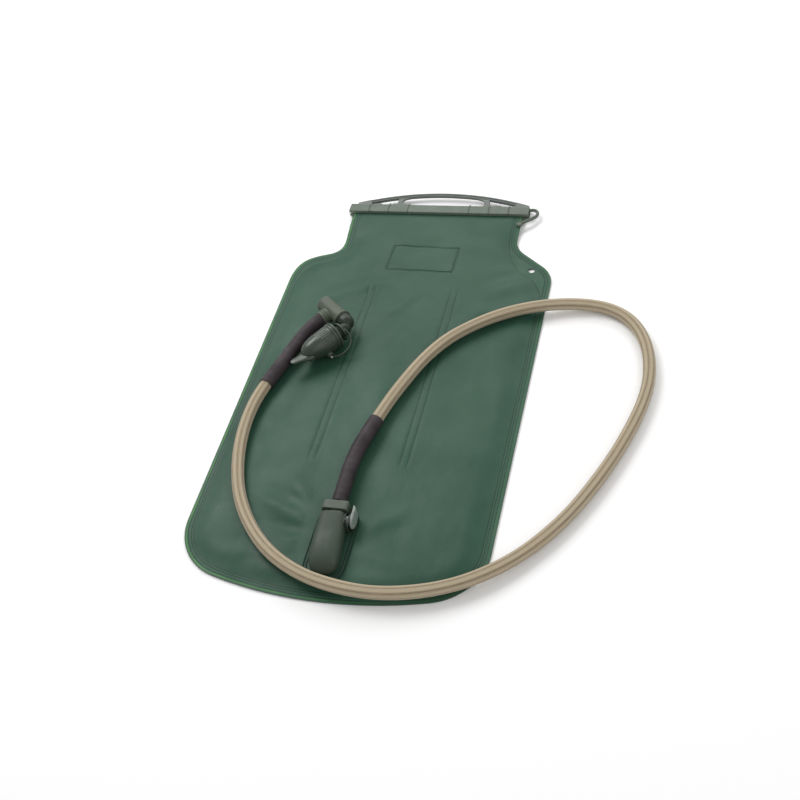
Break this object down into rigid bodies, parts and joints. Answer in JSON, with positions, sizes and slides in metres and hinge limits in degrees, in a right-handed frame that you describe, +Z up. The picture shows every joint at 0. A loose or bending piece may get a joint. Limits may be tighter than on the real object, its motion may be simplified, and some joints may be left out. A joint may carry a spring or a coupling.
{
  "type": "hydration reservoir",
  "caption": "Flat welded water bag with a slide-off closure and handle, a quick-release outlet, a sleeved drinking hose and a capped bite valve that turns to shut off.",
  "frame": {"origin": "under the middle of the bag and its closure, on the surface that it lies on", "axes": "+X across the bag, +Y towards the closure and handle, +Z up out of the bag's front"},
  "size_m": [0.3395, 0.448, 0.0285],
  "materials": {
    "film_green": "satin coated film",
    "clip_grey": "fine texture",
    "housing_green": "fine texture",
    "button_grey": "translucent satin",
    "cuff_black": "matte",
    "sleeve_tan": "woven",
    "tube_clear": "clear soft tube",
    "silicone": "satin",
    "rubber": "matte",
    "steel": "plain"
  },
  "bodies": {
    "reservoir": {"front_film": "film_green", "back_film": "film_green", "baffle_left": "film_green", "baffle_right": "film_green", "front_rail": "clip_grey", "back_rail": "clip_grey", "leash_stud": "clip_grey", "port_patch": "film_green", "port_gasket": "rubber", "port_backing_ring": "clip_grey", "outlet_housing": "housing_green", "outlet_collar": "housing_green", "button_guide": "housing_green", "hose_plug": "clip_grey", "plug_seal": "rubber", "drinking_tube": "tube_clear", "tube_sleeve": "sleeve_tan", "outlet_cuff": "cuff_black", "valve_cuff": "cuff_black", "valve_barrel": "housing_green"},
    "closure": {"slide_clip": "clip_grey", "leash": "clip_grey"},
    "button": {"release_button": "button_grey", "latch_plate": "steel", "button_spring": "steel"},
    "poppet": {"check_poppet": "clip_grey", "poppet_seal": "rubber", "poppet_spring": "steel"},
    "mouthpiece": {"mouthpiece_elbow": "housing_green", "core_seal_inner": "rubber", "core_seal_outer": "rubber", "bite_sheath": "silicone"},
    "cap": {"dust_cap": "housing_green", "cap_strap": "housing_green"}
  },
  "joints": [
    {"name": "closure_slide", "type": "slide", "parent": "reservoir", "child": "closure", "axis": [1, 0, 0], "range_m": [0, 0.174], "deforming": ["leash"]},
    {"name": "button_push", "type": "slide", "parent": "reservoir", "child": "button", "axis": [-1, 0, 0], "range_m": [0, 0.0014], "stiffness_N_per_m": 900, "springref_m": -0.002, "deforming": ["button_spring"]},
    {"name": "poppet_lift", "type": "slide", "parent": "reservoir", "child": "poppet", "axis": [0, -1, 0], "range_m": [0, 0.001], "stiffness_N_per_m": 300, "springref_m": -0.003, "deforming": ["poppet_spring"]},
    {"name": "shutoff_turn", "type": "hinge", "parent": "reservoir", "child": "mouthpiece", "pos_m": [-0.0709, 0.0594, 0.0164], "axis": [-0.7771, 0.6293, 0], "range_deg": [0, 90]},
    {"name": "cap_pull", "type": "slide", "parent": "mouthpiece", "child": "cap", "axis": [-0.6293, -0.7771, 0], "range_m": [0, 0.0135], "deforming": ["cap_strap"]}
  ]
}
